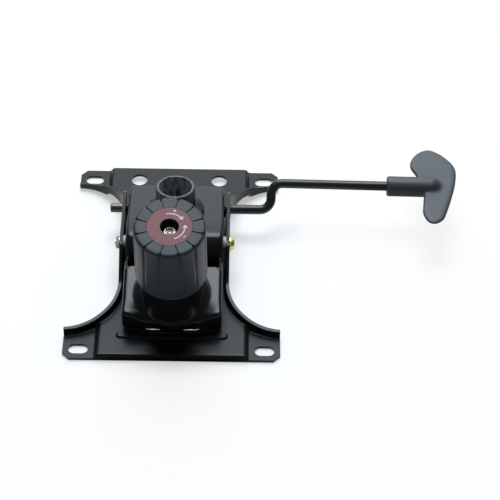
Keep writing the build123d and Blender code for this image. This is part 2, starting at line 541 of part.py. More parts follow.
def knob_label():
    """The coloured ring set in the knob's top."""
    low = KNOB_TOP - LABEL_THICKNESS / 2
    return tension_frame * ring(LABEL_RADIUS - 0.05, KNOB_HOLE_RADIUS + 0.1, low, low + LABEL_THICKNESS)


def lever_rod():
    """A round bar: straight through the housing, cranked up and back, then out to the handle."""
    path = FilletPolyline((ROD_LEFT_X, ROD_Y, ROD_Z), (ROD_CRANK_X, ROD_Y, ROD_Z),
                          (ARM_X, ARM_Y, ARM_Z), (ARM_END_X, ARM_END_Y, ARM_END_Z),
                          radius=ROD_BEND_RADIUS)
    bar = sweep(Plane(origin=path @ 0, z_dir=path % 0) * Circle(ROD_RADIUS), path=path)
    ends = [edge for edge in bar.edges() if edge.center().X < ROD_LEFT_X + 0.5]
    return chamfer(ends, 0.6)


def rod_clip():
    """A retaining ring that stops the rod from being pulled out."""
    return cross_ring(ROD_Y, ROD_Z, CLIP_RADIUS, ROD_RADIUS, CLIP_X, CLIP_X + CLIP_THICKNESS)


def release_tongue():
    """A sleeve on the rod with a plate under the gas lift's button."""
    body = side_prism(polygon(TONGUE_SIDE), -TONGUE_HALF_WIDTH, TONGUE_HALF_WIDTH)
    body += cross_rod(ROD_Y, ROD_Z, TONGUE_SLEEVE_RADIUS, -TONGUE_HALF_WIDTH, TONGUE_HALF_WIDTH)
    return body - cross_rod(ROD_Y, ROD_Z, ROD_RADIUS + RUNNING, -30, 30)


def lever_handle():
    """The moulded grip: a sleeve over the rod and a flat two-winged blade."""
    direction = Vector(ARM_END_X - ARM_X, ARM_END_Y - ARM_Y, ARM_END_Z - ARM_Z).normalized()
    start = Vector(ARM_X, ARM_Y, ARM_Z) + direction * (SLEEVE_START_X - ARM_X)
    length = SLEEVE_END_X - SLEEVE_START_X
    r = SLEEVE_RADIUS
    profile = make_face([
        Line((0, 0), (r - 1, 0)), Line((r - 1, 0), (r, 1)), Line((r, 1), (r, length - r * 0.7)),
        ThreePointArc((r, length - r * 0.7), (r * 0.72, length - r * 0.22), (0, length)),
        Line((0, length), (0, 0))])
    sleeve = Plane(origin=start, z_dir=direction) * revolve(Plane.XZ * profile, Axis.Z)
    outline = make_face(Spline(*BLADE_OUTLINE, periodic=True))
    blade = Pos(0, 0, ARM_END_Z - BLADE_THICKNESS / 2) * extrude(outline, BLADE_THICKNESS)
    rims = blade.edges().filter_by(lambda e: abs(e.center().Z - ARM_END_Z) > 1)
    blade = fillet(rims, BLADE_THICKNESS * 0.38)
    end = Vector(ARM_END_X, ARM_END_Y, ARM_END_Z)
    bore = Plane(origin=end - direction * 60, z_dir=direction) * disc(ROD_RADIUS + 0.02, 0, 60.1)
    return sleeve + blade - bore


parts = {
    "seat_plate": seat_plate(),
    "anchor_strap": anchor_strap(),
    "pivot_bolt": pivot_bolt(),
    "pivot_washer": pivot_washer(),
    "pivot_nut": pivot_nut(),
    "front_bumpers": bumpers(*FRONT_STOP),
    "rear_bumpers": bumpers(*REAR_STOP),
    "control_housing": control_housing(),
    "taper_socket": taper_socket(),
    "spring_cup": spring_cup(),
    "pivot_tube": pivot_tube(),
    "pivot_bush_right": pivot_bush(),
    "pivot_bush_left": mirror(pivot_bush(), Plane.YZ),
    "lever_bush_right": lever_bush(),
    "lever_bush_left": mirror(lever_bush(), Plane.YZ),
    "tension_spring": tension_spring(),
    "tension_bolt": tension_bolt(),
    "saddle_washer": saddle_washer(),
    "spring_seat": spring_seat(),
    "thrust_washer": thrust_washer(),
    "tension_nut": tension_nut(),
    "tension_knob": tension_knob(),
    "knob_label": knob_label(),
    "release_tongue": release_tongue(),
    "lever_rod": lever_rod(),
    "rod_clip": rod_clip(),
    "lever_handle": lever_handle(),
}

os.makedirs("parts", exist_ok=True)
for name, solid in parts.items():
    export_step(solid, "parts/%s.step" % name)
    print("%-18s volume %10.1f mm3, solids %d" % (name, solid.volume, len(solid.solids())))
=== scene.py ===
# %% [markdown]
# # An office chair's tilt mechanism, upside down on its seat face
#
# The part is a stamped seat plate, a tub that tilts on it, a tension knob and a release lever.
# Its solids come packed in one frame, in metres: Z up from the seat face, -Y to the chair's front
# and +X to the lever's side. This lesson gives those solids their finishes, and makes new skins
# for the pieces whose looks need more than a plain solid: the tub, the knob, the bolt's end, the
# label and the grip, and copies the spring's mesh. New points are worked out as whole arrays with numpy.

import bpy
import numpy as np
from math import cos, degrees, hypot, pi, radians, sin
from mathutils import Matrix, Vector


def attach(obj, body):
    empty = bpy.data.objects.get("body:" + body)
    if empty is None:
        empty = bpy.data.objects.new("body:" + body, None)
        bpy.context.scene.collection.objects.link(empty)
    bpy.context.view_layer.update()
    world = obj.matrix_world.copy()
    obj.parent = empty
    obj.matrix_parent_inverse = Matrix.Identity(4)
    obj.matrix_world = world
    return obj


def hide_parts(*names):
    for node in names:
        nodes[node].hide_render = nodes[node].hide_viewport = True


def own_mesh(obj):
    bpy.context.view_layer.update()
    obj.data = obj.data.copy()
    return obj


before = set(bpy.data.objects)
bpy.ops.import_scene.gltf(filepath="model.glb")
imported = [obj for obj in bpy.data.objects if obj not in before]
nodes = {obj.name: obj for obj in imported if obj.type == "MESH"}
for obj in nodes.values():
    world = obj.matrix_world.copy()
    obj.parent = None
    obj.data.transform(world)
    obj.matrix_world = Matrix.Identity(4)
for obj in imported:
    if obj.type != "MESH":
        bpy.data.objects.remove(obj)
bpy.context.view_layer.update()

# %% [markdown]
# ## The camera
#
# The four seat slots lie 150 mm and 200 mm apart, and the photograph shows all of them. Solving
# for the one view that puts them where they appear gives the camera: its place, how far it looks
# down, how far it is turned, and how narrow its view is. Guessing by eye could come close, but a
# solved camera lets every other edge be compared with the photograph.

# %% Camera
CAMERA_PLACE = Vector((0.049, -0.972, 0.993))
CAMERA_DOWN, CAMERA_TURN, CAMERA_ROLL = radians(45.11), radians(0.81), radians(1.39)
FOCAL_PIXELS, PICTURE_PIXELS, SENSOR_MM = 1637.0, 500.0, 36.0


def camera_axes(down, turn, roll):
    """The view's right, up and backward directions: forward leans down and turns, then it rolls."""
    forward = Vector((sin(turn) * cos(down), cos(turn) * cos(down), -sin(down)))
    level_right = Vector((cos(turn), -sin(turn), 0))
    level_up = level_right.cross(forward)
    right = level_right * cos(roll) + level_up * sin(roll)
    up = level_up * cos(roll) - level_right * sin(roll)
    return right, up, -forward


camera_data = bpy.data.cameras.new("photograph_camera")
camera_data.sensor_width = SENSOR_MM
camera_data.lens = FOCAL_PIXELS / PICTURE_PIXELS * SENSOR_MM
camera = bpy.data.objects.new("photograph_camera", camera_data)
bpy.context.scene.collection.objects.link(camera)
turned_axes = Matrix(camera_axes(CAMERA_DOWN, CAMERA_TURN, CAMERA_ROLL)).transposed().to_4x4()
camera.matrix_world = Matrix.Translation(CAMERA_PLACE) @ turned_axes
bpy.context.scene.camera = camera
bpy.context.scene.view_settings.view_transform = "Standard"
print("lens %.1f mm, looking down %.1f degrees" % (camera_data.lens, degrees(CAMERA_DOWN)))

# %% [markdown]
# ## Writing materials as sums
#
# A material's pattern is a sum of simple fields: noise, waves, distances. Each sum could be wired
# by hand, node by node, but then its formula can't be read. Here a small class wraps a socket, so
# that `0.3 + 0.1 * grain` adds the Math nodes it needs. Any other node comes from one method.


# %% Fields and finishes
class Field:
    """A number or vector that varies over a surface: one output socket of a finish's nodes."""

    def __init__(self, finish, socket):
        self.finish, self.socket = finish, socket

    def __add__(self, other):
        return self.finish.sum_of("ADD", self, other)

    def __sub__(self, other):
        return self.finish.sum_of("SUBTRACT", self, other)

    def __rsub__(self, other):
        return self.finish.sum_of("SUBTRACT", other, self)

    def __mul__(self, other):
        return self.finish.sum_of("MULTIPLY", self, other)

    def __pow__(self, power):
        return self.finish.sum_of("POWER", self, power)

    def __abs__(self):
        return self.finish.sum_of("ABSOLUTE", self)

    __radd__, __rmul__ = __add__, __mul__

    def higher(self, other):
        return self.finish.sum_of("MAXIMUM", self, other)

    def rise(self, low, high):
        """0 below low, 1 above high, and a smooth step between them."""
        settings = {"interpolation_type": "SMOOTHSTEP"}
        return self.finish.node("ShaderNodeMapRange", settings,
                                {"Value": self, "From Min": low, "From Max": high})

    def fall(self, low, high):
        """1 below low, 0 above high."""
        return 1 - self.rise(low, high)


class Finish:
    """One material: its Principled shader and the nodes that feed it."""

    def __init__(self, name, **constants):
        self.material = bpy.data.materials.new(name)
        self.material.use_nodes = True
        self.tree = self.material.node_tree
        self.shader = self.tree.nodes["Principled BSDF"]
        for socket, value in constants.items():
            self.shader.inputs[socket.replace("_", " ")].default_value = value

    def node(self, kind, settings=None, inputs=None, output=0):
        """Adds a node: its type, its settings first, and then the values or links of its sockets."""
        made = self.tree.nodes.new(kind)
        for key, value in (settings or {}).items():
            setattr(made, key, value)
        for key, value in (inputs or {}).items():
            self.feed(made.inputs[key], value)
        return Field(self, made.outputs[output])

    def feed(self, socket, value):
        """Links a field to a socket, or sets the socket to a constant."""
        if isinstance(value, Field):
            self.tree.links.new(value.socket, socket)
        else:
            socket.default_value = value

    def sum_of(self, operation, *values):
        return self.node("ShaderNodeMath", {"operation": operation}, dict(enumerate(values)))

    def place(self):
        return self.node("ShaderNodeTexCoord", output="Object")

    def parts_of(self, vector):
        """The x, y and z of a vector, as three fields."""
        first = self.node("ShaderNodeSeparateXYZ", inputs={"Vector": vector})
        return [Field(self, first.socket.node.outputs[k]) for k in range(3)]

    def noise(self, size_mm, detail=3.0, roughness=0.5, stretch=(1, 1, 1)):
        """Soft noise whose lumps are about size_mm across, from 0 to 1."""
        point = self.node("ShaderNodeMapping", inputs={"Vector": self.place(), "Scale": stretch})
        return self.node("ShaderNodeTexNoise", inputs={
            "Vector": point, "Scale": 1000 / size_mm, "Detail": detail, "Roughness": roughness})

    def blend(self, share, first, second):
        """Two colours mixed by a share from 0 to 1."""
        made = self.node("ShaderNodeMix", {"data_type": "RGBA"}, output=2)
        sockets = made.socket.node.inputs
        for socket, value in ((sockets[0], share), (sockets[6], first), (sockets[7], second)):
            self.feed(socket, (*value, 1) if isinstance(value, tuple) else value)
        return made

    def dent(self, height, millimetres, strength=1.0):
        """Feeds the normal with a bump whose height field is millimetres deep."""
        bump = self.node("ShaderNodeBump", inputs={
            "Height": height, "Distance": millimetres / 1000, "Strength": strength})
        self.feed(self.shader.inputs["Normal"], bump)

    def set(self, socket, value):
        self.feed(self.shader.inputs[socket], value)


# %% [markdown]
# ## Lamps and world
#
# The photograph has a strong soft light high above and behind the part, a weaker and wider one lower
# down behind it, and little light from the front: the front deck mirrors the high light and is
# brightest, the plate and the rear deck mirror the low one and look mid grey, and walls that face
# the camera stay nearly black. Two soft lamps and a dim even world give the same. A picture of a
# studio could light it too, but plain sources are enough and render quietly. The world is white to
# the camera and dim to everything else.

# %% Lamps and world
LAMP_DISTANCE, LAMP_COLOUR = 2.0, (0.86, 0.95, 1.0)
HIGH_RADIANCE, HIGH_WIDTH, HIGH_DEPTH, HIGH_RISE = 11.5, 1.15, 0.95, radians(69)
LOW_RADIANCE, LOW_WIDTH, LOW_DEPTH, LOW_RISE = 2.85, 2.4, 1.5, radians(33)
WORLD_STRENGTH, WORLD_COLOUR = 0.10, (0.92, 0.97, 1.0)

world = bpy.data.worlds.new("even_world")
bpy.context.scene.world = world
world.use_nodes = True
sky = world.node_tree.nodes["Background"]
world_rays = world.node_tree.nodes.new("ShaderNodeLightPath")
tint = world.node_tree.nodes.new("ShaderNodeMix")
tint.data_type = "RGBA"
tint.inputs[6].default_value = (*(WORLD_STRENGTH * part for part in WORLD_COLOUR), 1)
tint.inputs[7].default_value = (1, 1, 1, 1)
world.node_tree.links.new(world_rays.outputs["Is Camera Ray"], tint.inputs[0])
world.node_tree.links.new(tint.outputs[2], sky.inputs["Color"])
sky.inputs["Strength"].default_value = 1.0


def soft_lamp(name, radiance, width, depth, rise):
    """A rectangle behind the part that shines with an even radiance: its power is radiance x area
    x pi, and rise is its height above the horizon."""
    place = Vector((0, cos(rise), sin(rise))) * LAMP_DISTANCE
    data = bpy.data.lights.new(name, "AREA")
    data.shape, data.size, data.size_y = "RECTANGLE", width, depth
    data.energy = radiance * width * depth * pi
    data.color = LAMP_COLOUR
    lamp = bpy.data.objects.new(name, data)
    bpy.context.scene.collection.objects.link(lamp)
    lamp.location = place
    lamp.rotation_euler = (-place).to_track_quat("-Z", "Y").to_euler()
    lamp.visible_camera = False


soft_lamp("high_lamp", HIGH_RADIANCE, HIGH_WIDTH, HIGH_DEPTH, HIGH_RISE)
soft_lamp("low_lamp", LOW_RADIANCE, LOW_WIDTH, LOW_DEPTH, LOW_RISE)
level = (HIGH_RADIANCE * HIGH_WIDTH * HIGH_DEPTH * sin(HIGH_RISE)
         + LOW_RADIANCE * LOW_WIDTH * LOW_DEPTH * sin(LOW_RISE)) / LAMP_DISTANCE ** 2 / pi + WORLD_STRENGTH
print("a level white sheet looks %.2f bright" % level)

# %% [markdown]
# ## The floor
#
# The floor is painted white and glows towards the camera, so it is white but keeps a faint shadow.
# Towards the part it glows less, and unevenly. The boss and the front wall mirror what lies ahead,
# and are nearly black in the photograph. The knob's front mirrors a band of floor there, its flanks
# the floor beside it, and the rear edges the floor behind. Under the part the paper glows less even
# to the camera, so that what shows through the holes lies in shadow.

# %% Floor
FLOOR_HALF, FLOOR_DROP = 30.0, 0.0002
SEEN_GLOW_SHARE, SHADED_GLOW_SHARE, MIRRORED_GLOW_SHARE = 0.86, 0.46, 0.97
# Each pair gives two places across or along the part, in metres, between which a field fades.
AHEAD_SIDES, AHEAD_START = (0.05, 0.09), (-0.09, -0.07)
BAND_FAR, BAND_NEAR = (-0.24, -0.20), (-0.170, -0.140)
BESIDE_INNER, BESIDE_OUTER, BEHIND = (0.045, 0.08), (0.13, 0.18), (0.07, 0.12)
FAR_ASIDE, UNDER_SIDES, UNDER_ENDS = (0.14, 0.18), (0.09, 0.12), (0.10, 0.13)
EVEN_GLOW, MORE_BESIDE, LESS_AHEAD, MORE_IN_BAND, LESS_ASIDE = 0.60, 0.40, 0.60, 0.90, 0.30

floor_mesh = bpy.data.meshes.new("floor")
floor_mesh.from_pydata([(side * FLOOR_HALF, end * FLOOR_HALF, -FLOOR_DROP)
                        for side, end in ((-1, -1), (1, -1), (1, 1), (-1, 1))], [], [(0, 1, 2, 3)])
floor = bpy.data.objects.new("floor", floor_mesh)
bpy.context.scene.collection.objects.link(floor)

paper = Finish("white_paper", Roughness=0.9, Base_Color=(0.88, 0.88, 0.88, 1))
paper.shader.inputs["Specular IOR Level"].default_value = 0.0
rays = paper.node("ShaderNodeLightPath")
direct = Field(paper, rays.socket.node.outputs["Is Camera Ray"])
glossy = Field(paper, rays.socket.node.outputs["Is Glossy Ray"])
x, y, z = paper.parts_of(paper.place())
beside = abs(x).rise(*BESIDE_INNER) * abs(x).fall(*BESIDE_OUTER)
ahead = abs(x).fall(*AHEAD_SIDES) * y.fall(*AHEAD_START)
band_ahead = ahead * y.rise(*BAND_FAR) * y.fall(*BAND_NEAR)
behind, far_aside = y.rise(*BEHIND), abs(x).rise(*FAR_ASIDE)
under = abs(x).fall(*UNDER_SIDES) * abs(y).fall(*UNDER_ENDS)
# Painted reflection: the glow that glossy rays see paints shade into the mirrored floor ahead of the part
# and far aside, and paints light beside it, behind it and in a band ahead.
painted_reflection_glow = (EVEN_GLOW + MORE_BESIDE * (beside + behind) - LESS_AHEAD * ahead
            + MORE_IN_BAND * band_ahead - LESS_ASIDE * far_aside)
glow = paper.node("ShaderNodeEmission", inputs={
    "Color": (1.0, 1.0, 1.0, 1), "Strength": direct + (1 - direct) * painted_reflection_glow})
seen_share = SEEN_GLOW_SHARE - (SEEN_GLOW_SHARE - SHADED_GLOW_SHARE) * under
shown = paper.node("ShaderNodeMixShader", inputs={
    0: seen_share * direct + MIRRORED_GLOW_SHARE * glossy})
paper.tree.links.new(paper.shader.outputs[0], shown.socket.node.inputs[1])
paper.tree.links.new(glow.socket, shown.socket.node.inputs[2])
paper.tree.links.new(shown.socket, paper.tree.nodes["Material Output"].inputs["Surface"])
floor_mesh.materials.append(paper.material)
print("floor %.0f m across, %.1f mm below the part" % (2 * FLOOR_HALF, FLOOR_DROP * 1000))

# %% [markdown]
# ## Enamel
#
# The stampings are dipped in black stove enamel. It is nearly black itself, and what makes it look
# grey is its mirror of the lamps, softened by a satin surface. Close up it has orange peel, which
# is low lumps a millimetre or two across, finer pits, and a thin film of dust in patches. A flat
# dark colour would look like a hole in the picture, so the gloss carries the look. The socket is
# bare steel inside, where the enamel never reached. The bore's pale grey is partly that steel and
# partly painted light, standing in for the lamp light that reaches down it.


# %% Enamel finishes
PEEL_MM, DUST_COLOUR = 0.012, (0.16, 0.165, 0.17)
SOCKET_MOUTH, SOCKET_LEAN, SOCKET_RADIUS = np.array([0.0, 21.6, 68.7]), radians(6.5), 14.0


def enamel(name, colour, roughness, dust, specular):
    """Satin stove enamel: dark paint, uneven gloss, orange peel, and dust in patches."""
    made = Finish(name)
    made.shader.inputs["Specular IOR Level"].default_value = specular
    patches = made.noise(38, 4, 0.55)
    specks = made.noise(0.55, 2, 0.6)
    lumps = made.noise(1.7, 2, 0.5)
    made.set("Base Color", made.blend(dust * (patches * 0.7 + specks.rise(0.55, 0.8) * 0.6),
                                      colour, DUST_COLOUR))
    made.set("Roughness", roughness + 0.10 * patches + 0.08 * specks - 0.09)
    made.dent(lumps + 0.25 * specks, PEEL_MM, 0.55)
    return made.material


plate_enamel = enamel("plate_enamel", (0.0065, 0.0075, 0.0085), 0.28, 0.05, 0.20)
housing_enamel = enamel("housing_enamel", (0.0040, 0.0046, 0.0054), 0.235, 0.045, 0.245)


def socket_finish():
    """Enamel outside, and inside the bore bare phosphated steel with streaks along it. Its pale grey
    is partly painted light that stands in for the lamp light reaching down the bore. The distance
    from the leaning axis tells inside from outside, and the distance below the mouth finds the rim,
    where the enamel is scraped thin."""
    made = Finish("socket_enamel")
    made.shader.inputs["Specular IOR Level"].default_value = 0.3
    x, y, z = made.parts_of(made.place())
    top_y, top_z = (SOCKET_MOUTH[1:] / 1000).tolist()
    across = (y - top_y) * cos(SOCKET_LEAN) - (z - top_z) * sin(SOCKET_LEAN)
    depth = (top_z - z) * cos(SOCKET_LEAN) - (y - top_y) * sin(SOCKET_LEAN)
    off_axis = (x * x + across * across) ** 0.5
    inside = off_axis.fall((SOCKET_RADIUS + 0.2) / 1000, (SOCKET_RADIUS + 0.4) / 1000)
    streaks = made.noise(2.6, 4, 0.6, (1, 1, 0.12))
    clouds, specks = made.noise(9, 3, 0.5), made.noise(0.8, 3, 0.6)
    stained = (streaks * 0.75 + clouds * 0.4).rise(0.42, 0.78)
    # Partly painted light: the pale grey is the bore's own bare steel, made pale enough to stand in for
    # the lamp light that reaches down the bore.
    steel = made.blend(stained, (0.40, 0.42, 0.44), (0.05, 0.052, 0.055))
    scraped = (depth + 0.0008 * (specks - 0.5)).fall(0.0002, 0.0007)
    paint = made.blend(scraped * (0.3 + 0.5 * specks), (0.010, 0.011, 0.012), (0.08, 0.084, 0.088))
    made.set("Base Color", made.blend(inside, paint, steel))
    made.set("Roughness", 0.36 + 0.10 * clouds + 0.15 * inside)
    made.dent(streaks + 0.5 * specks, 0.02, 0.5)
    return made.material


socket_enamel = socket_finish()

# %% [markdown]
# ## Plated and plain metal, nylon and rubber
#
# Small parts are zinc plated: the nut and washers bright, the pivot bolt passivated yellow, which
# drifts between straw and green with the film's thickness. The lever rod has gloss enamel and a
# bare left end. The knob and the grip are dark moulded plastic with a fine grain. Each finish is a
# short sum of noise in colour and roughness.


# %% Small finishes
def plated(name, first, second, roughness):
    """Zinc plate: metal with cloudy colour, uneven gloss and a fine grain."""
    made = Finish(name, Metallic=1.0)
    clouds, grain = made.noise(4.5, 4, 0.6), made.noise(0.35, 3, 0.6)
    made.set("Base Color", made.blend(clouds.rise(0.35, 0.7), first, second))
    made.set("Roughness", roughness + 0.16 * grain + 0.08 * clouds)
    made.dent(grain, 0.01, 0.5)
    return made.material


def moulded(name, colour, dusty, roughness, grain_mm, depth_mm, dust=0.25, specular=0.5,
            tint=(1, 1, 1)):
    """Moulded plastic: spark-eroded grain, cloudy flow marks and a little dust in the grain."""
    made = Finish(name, Specular_Tint=(*tint, 1))
    made.shader.inputs["Specular IOR Level"].default_value = specular
    grain, clouds = made.noise(grain_mm, 3, 0.65), made.noise(16, 3, 0.5)
    made.set("Base Color", made.blend(dust * (0.5 * clouds + 0.9 * grain.rise(0.5, 0.75)), colour, dusty))
    made.set("Roughness", roughness + 0.12 * clouds + 0.10 * grain)
    made.dent(grain, depth_mm, 0.6)
    return made.material


zinc_yellow = plated("zinc_yellow", (0.74, 0.66, 0.22), (0.62, 0.70, 0.34), 0.18)
zinc_bright = plated("zinc_bright", (0.40, 0.40, 0.39), (0.30, 0.31, 0.32), 0.32)
bolt_brass = plated("bolt_brass", (0.50, 0.46, 0.38), (0.38, 0.35, 0.30), 0.34)
spring_steel = plated("spring_steel", (0.13, 0.13, 0.14), (0.20, 0.19, 0.18), 0.34)
nylon_pale = moulded("nylon_pale", (0.40, 0.41, 0.41), (0.55, 0.56, 0.56), 0.42, 0.8, 0.01)
nylon_black = moulded("nylon_black", (0.012, 0.012, 0.013), (0.05, 0.05, 0.05), 0.45, 0.8, 0.01)
stop_rubber = moulded("stop_rubber", (0.014, 0.014, 0.015), (0.06, 0.06, 0.06), 0.68, 0.7, 0.03)
knob_plastic = moulded("knob_plastic", (0.028, 0.033, 0.041), (0.052, 0.060, 0.070), 0.31, 0.45, 0.018,
                       0.2, 0.19, (0.96, 0.98, 1.0))
grip_plastic = moulded("grip_plastic", (0.030, 0.036, 0.043), (0.075, 0.085, 0.095), 0.40, 0.5, 0.012,
                       0.3, 0.5)


def rod_enamel_finish(bare_before):
    """Gloss black enamel over steel, bare and bronze grey where x is less than bare_before."""
    made = Finish("rod_enamel")
    made.shader.inputs["Specular IOR Level"].default_value = 0.33
    x, y, z = made.parts_of(made.place())
    scratches = made.noise(0.6, 3, 0.6, (0.15, 1, 1))
    patches = made.noise(7, 3, 0.6)
    bare = (x + (patches - 0.5) * 0.002).fall(bare_before - 0.0006, bare_before + 0.0006)
    paint = made.blend(0.10 * patches, (0.010, 0.011, 0.012), (0.16, 0.16, 0.16))
    steel = made.blend(patches, (0.075, 0.066, 0.058), (0.15, 0.137, 0.124))
    made.set("Base Color", made.blend(bare, paint, steel))
    made.set("Metallic", bare)
    made.set("Roughness", 0.22 + 0.10 * scratches + 0.18 * bare)
    made.dent(scratches, 0.01, 0.4)
    return made.material


ROD_BARE_BEFORE = -0.046
rod_enamel = rod_enamel_finish(ROD_BARE_BEFORE)

# %% [markdown]
# ## Dressing the solids
#
# A solid whose shape is already right keeps it, and only takes a finish. Its mesh comes with the
# true normals of its curved faces, so nothing has to be smoothed.

# %% Give each solid its finish
dress = {
    plate_enamel: ["seat_plate", "anchor_strap"],
    housing_enamel: ["control_housing", "spring_cup", "pivot_tube"],
    socket_enamel: ["taper_socket"],
    zinc_yellow: ["pivot_bolt", "tension_nut"],
    zinc_bright: ["pivot_washer", "pivot_nut", "saddle_washer", "spring_seat", "release_tongue",
                  "rod_clip"],
    bolt_brass: ["tension_bolt"],
    nylon_pale: ["pivot_bush_right", "pivot_bush_left", "thrust_washer"],
    nylon_black: ["lever_bush_right", "lever_bush_left"],
    spring_steel: ["tension_spring"],
    stop_rubber: ["front_bumpers", "rear_bumpers"],
    knob_plastic: ["tension_knob"],
    grip_plastic: ["lever_handle"],
    rod_enamel: ["lever_rod"],
}
for material, names in dress.items():
    for name in names:
        mesh = nodes[name].data
        mesh.materials.clear()
        mesh.materials.append(material)
print("dressed", sum(len(names) for names in dress.values()), "solids")

# %% [markdown]
# ## Surfaces from grids
#
# Every new piece is a grid of points, rows by columns, joined to a skin of four-sided faces. A grid
# may close on itself in either direction, like a tube or a ring. Primitive shapes with modifiers
# could do some of it, but a formula keeps every size in view and is easy to change.


# %% Grid skins
def skin(name, points_mm, wrap_rows=False, wrap_columns=True, cap_ends=False, sharp=None):
    """A mesh object from a grid of points in millimetres, shaped (rows, columns, 3).
    Face (i, j) joins points (i, j), (i, j+1), (i+1, j+1) and (i+1, j), with wrapped indexes where
    the grid closes. Its signed volume shows whether it has turned inside out, and then it is flipped."""
    rows, columns = points_mm.shape[:2]
    index = np.arange(rows * columns).reshape(rows, columns)
    if wrap_rows:
        index = np.vstack([index, index[:1]])
    if wrap_columns:
        index = np.hstack([index, index[:, :1]])
    faces = np.stack([index[:-1, :-1], index[:-1, 1:], index[1:, 1:], index[1:, :-1]], -1).reshape(-1, 4)
    points = points_mm.reshape(-1, 3) / 1000
    fans = []
    if cap_ends:
        for row, flip in ((0, True), (rows - 1, False)):
            points = np.vstack([points, points_mm[row].mean(0) / 1000])
            ring = np.arange(columns) + row * columns
            around = np.roll(ring, -1)
            pole = np.full(columns, len(points) - 1)
            fans.append(np.stack([around, ring, pole] if flip else [ring, around, pole], -1))
    corners = points[faces]
    volume = np.einsum("ij,ij->", corners[:, 0], np.cross(corners[:, 1], corners[:, 2])
                       + np.cross(corners[:, 2], corners[:, 3]))
    face_list = [list(f) for f in faces.tolist()] + [list(f) for fan in fans for f in fan.tolist()]
    if volume < 0:
        face_list = [f[::-1] for f in face_list]
    mesh = bpy.data.meshes.new(name)
    mesh.from_pydata(points.tolist(), [], face_list)
    mesh.polygons.foreach_set("use_smooth", np.ones(len(mesh.polygons), bool))
    mesh.update()
    if sharp:
        mesh.set_sharp_from_angle(angle=radians(sharp))
    made = bpy.data.objects.new(name, mesh)
    bpy.context.scene.collection.objects.link(made)
    print("%s: %d faces, grid volume %.0f mm3" % (name, len(face_list), abs(volume) / 6 * 1e9))
    return made


# %% [markdown]
# ## Even meshes and soft seams
#
# Where two forms meet, or where a solid's own mesh has long thin faces, a voxel remesh gives an even
# skin. Relaxing then moves each point towards the mean of its neighbours, everywhere a little to
# take off the voxels' steps, and more where a weight asks for a round corner or a fillet.


# %% Voxels and relaxing
VOXEL_RELAX, VOXEL_PASSES = 0.5, 4


def voxel_skin(made, voxel_mm):
    """Gives an object an even mesh with faces as wide as the voxels, and returns the mesh."""
    remesh = made.modifiers.new("voxels", "REMESH")
    remesh.mode, remesh.voxel_size = "VOXEL", voxel_mm / 1000
    seen = made.evaluated_get(bpy.context.evaluated_depsgraph_get())
    mesh = bpy.data.meshes.new_from_object(seen)
    made.modifiers.clear()
    made.data = mesh
    return mesh


def dress_skin(mesh, material):
    """Gives a skin smooth shading, and one material in place of all others."""
    mesh.polygons.foreach_set("use_smooth", np.ones(len(mesh.polygons), bool))
    mesh.materials.clear()
    mesh.materials.append(material)


def evenly(place):
    """The weight that takes off the voxels' steps everywhere."""
    return np.full(len(place), VOXEL_RELAX)


def relax(mesh, weight, passes):
    """Moves each point towards the mean of its neighbours, by its weight, a number of times."""
    count = len(mesh.vertices)
    place, ends = np.empty(count * 3), np.empty(len(mesh.edges) * 2, int)
    mesh.vertices.foreach_get("co", place)
    mesh.edges.foreach_get("vertices", ends)
    place, (first, second) = place.reshape(-1, 3), ends.reshape(-1, 2).T
    degree = np.bincount(np.concatenate([first, second]), minlength=count)[:, None]
    for _ in range(passes):
        total = np.stack([np.bincount(first, place[second, k], count)
                          + np.bincount(second, place[first, k], count) for k in range(3)], -1)
        place += weight(place)[:, None] * (total / degree - place)
    mesh.vertices.foreach_set("co", place.ravel())
    mesh.update()


# %% [markdown]
# ## The drawn tub
#
# The tub is drawn from one sheet: its boss runs out into the front deck in a wide hollow, which
# gives the deck a bright outer band that fades inwards, the front wall bows out to meet the boss,
# the cone hugs the socket more closely than a plain arc, and the rear deck sags towards its front
# edge. The solid has plain corners there. Fillets could round them, but not with the right shape, so
# a copy of the solid's mesh is remeshed evenly, five formulas move its points, and its two rear
# corners are relaxed until they are round.

# %% Tub sizes
# Sizes are in millimetres. Each pair in brackets is where a form's share is 0 and where it is
# whole, and the pairs called ALONG count towards the chair's front.
TENSION_LEAN = radians(11.0)
SWING_CENTRE = np.array([0.0, -60.315, 7.9])
FRONT_Y, REAR_Y, SIDE_X, DOME_FRONT_Y = -84.0, 55.0, 40.3, -25.5
BOSS_RADIUS, FOOT_RADIUS, BOSS_FOOT_Y, BOSS_FOOT_HEIGHT = 23.7, 26.1, -65.0, 24.55
TUB_VOXEL = 0.9

CORNER_BEND, CORNER_POWER = 5.5, 4.0
CRISP_ACROSS, CRISP_ALONG, CRISP_ABOVE = (24, 30), (40, 42), (3, 1)

MOUTH_HEIGHT, CONE_RADIUS, CONE_FOOT, CONE_HEIGHT = 25.04, 17.4, 29.0, 10.5
CONE_ARC_RADIUS, CONE_ARC_OUT, CONE_ARC_UP = 14.572, 31.45, 14.3645
FLARE_RADIUS, FLARE_POWER, FLARE_FADE = 27.0, 2.3, (-8, -3)

DROOP, DROOP_START_Y, DROOP_HEIGHTS, DROOP_END = 5.0, 6.0, (24, 40), (-34, -28)

HOLLOW_WIDTH, HOLLOW_HEIGHT, FADE_DEPTH = 10.0, 8.0, 6.0
HOLLOW_SKIN, HOLLOW_END_Y = 0.9, -90.0

BOW, SINK, BOW_RUN = 6.0, 5.0, 27.0
BOW_ALONG, BOW_ABOVE, BOW_BELOW, SINK_ALONG = (60, 79), (10.5, 19), (40, 28), (62, 84)

ROUND_WEIGHT, ROUND_PASSES, ROUND_REACH, ROUND_HEIGHTS = 0.5, 25, (7, 3), (26, 34)


